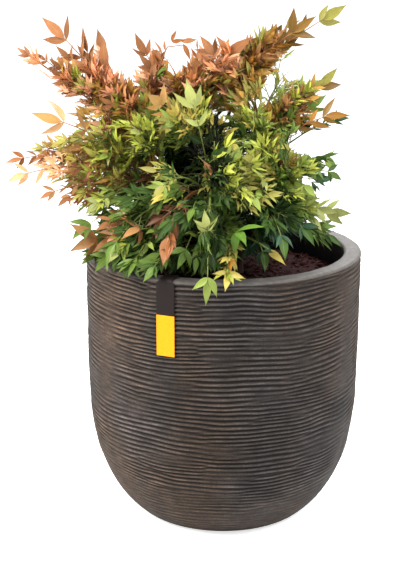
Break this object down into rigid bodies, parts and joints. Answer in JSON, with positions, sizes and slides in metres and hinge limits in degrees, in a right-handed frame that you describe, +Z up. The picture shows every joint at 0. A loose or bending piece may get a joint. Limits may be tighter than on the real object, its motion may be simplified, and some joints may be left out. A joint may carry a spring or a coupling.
{
  "type": "potted heavenly bamboo shrub",
  "caption": "Heavenly bamboo shrub with upright canes and arching sprays of pointed leaflets, in a tall round-bellied ribbed planter filled with soil.",
  "frame": {"origin": "centre of the planter's flat underside", "axes": "+Z up along the planter's axis, -Y towards the viewer, the care tag at the front left"},
  "size_m": [0.4478, 0.3969, 0.6472],
  "materials": {
    "planter": "matt dark brown-grey wall with fine uneven ribs and a lighter worn rim",
    "soil": "loose dark red-brown bark and peat",
    "tag": "printed card strip, dark above and amber below, left blank",
    "canes": "rough brown bark in fine upright furrows",
    "leaf_stalks": "smooth green to red-brown stalk",
    "foliage": "satin leaflets from dark green through lime to copper and salmon"
  },
  "bodies": {
    "root": {"planter": "planter", "potting_soil": "soil", "care_tag": "tag", "cane_left": "canes", "cane_low_left": "canes", "cane_centre": "canes", "cane_right": "canes", "cane_low_right": "canes", "cane_front": "canes", "cane_back": "canes", "bough_left_gold": "leaf_stalks", "bough_left_reach": "leaf_stalks", "bough_left_front": "leaf_stalks", "bough_left_low": "leaf_stalks", "bough_left_back_low": "leaf_stalks", "bough_right_back": "leaf_stalks", "bough_right_gold": "leaf_stalks", "bough_right_back_low": "leaf_stalks", "bough_front_left": "leaf_stalks", "bough_back_left": "leaf_stalks", "bough_back_right": "leaf_stalks", "bough_back_low": "leaf_stalks", "foliage_left_high": "foliage", "foliage_left_top": "foliage", "foliage_left_upper": "foliage", "foliage_left_gold": "foliage", "foliage_left_reach": "foliage", "foliage_left_front": "foliage", "foliage_left_low": "foliage", "foliage_left_rim": "foliage", "foliage_left_back": "foliage", "foliage_left_back_low": "foliage", "foliage_crown_left": "foliage", "foliage_crown_arch": "foliage", "foliage_crown_front_left": "foliage", "foliage_crown_middle": "foliage", "foliage_crown_back": "foliage", "foliage_right_high": "foliage", "foliage_right_tall": "foliage", "foliage_right_top": "foliage", "foliage_right_upper": "foliage", "foliage_right_back": "foliage", "foliage_right_gold": "foliage", "foliage_right_lime": "foliage", "foliage_right_level": "foliage", "foliage_right_reach": "foliage", "foliage_right_rim": "foliage", "foliage_right_back_low": "foliage", "foliage_front_high": "foliage", "foliage_front_upper": "foliage", "foliage_front_left": "foliage", "foliage_front_peach": "foliage", "foliage_front_fall": "foliage", "foliage_front_right": "foliage", "foliage_front_middle": "foliage", "foliage_back_high": "foliage", "foliage_back_left": "foliage", "foliage_back_right": "foliage", "foliage_back_low": "foliage"}
  },
  "joints": []
}
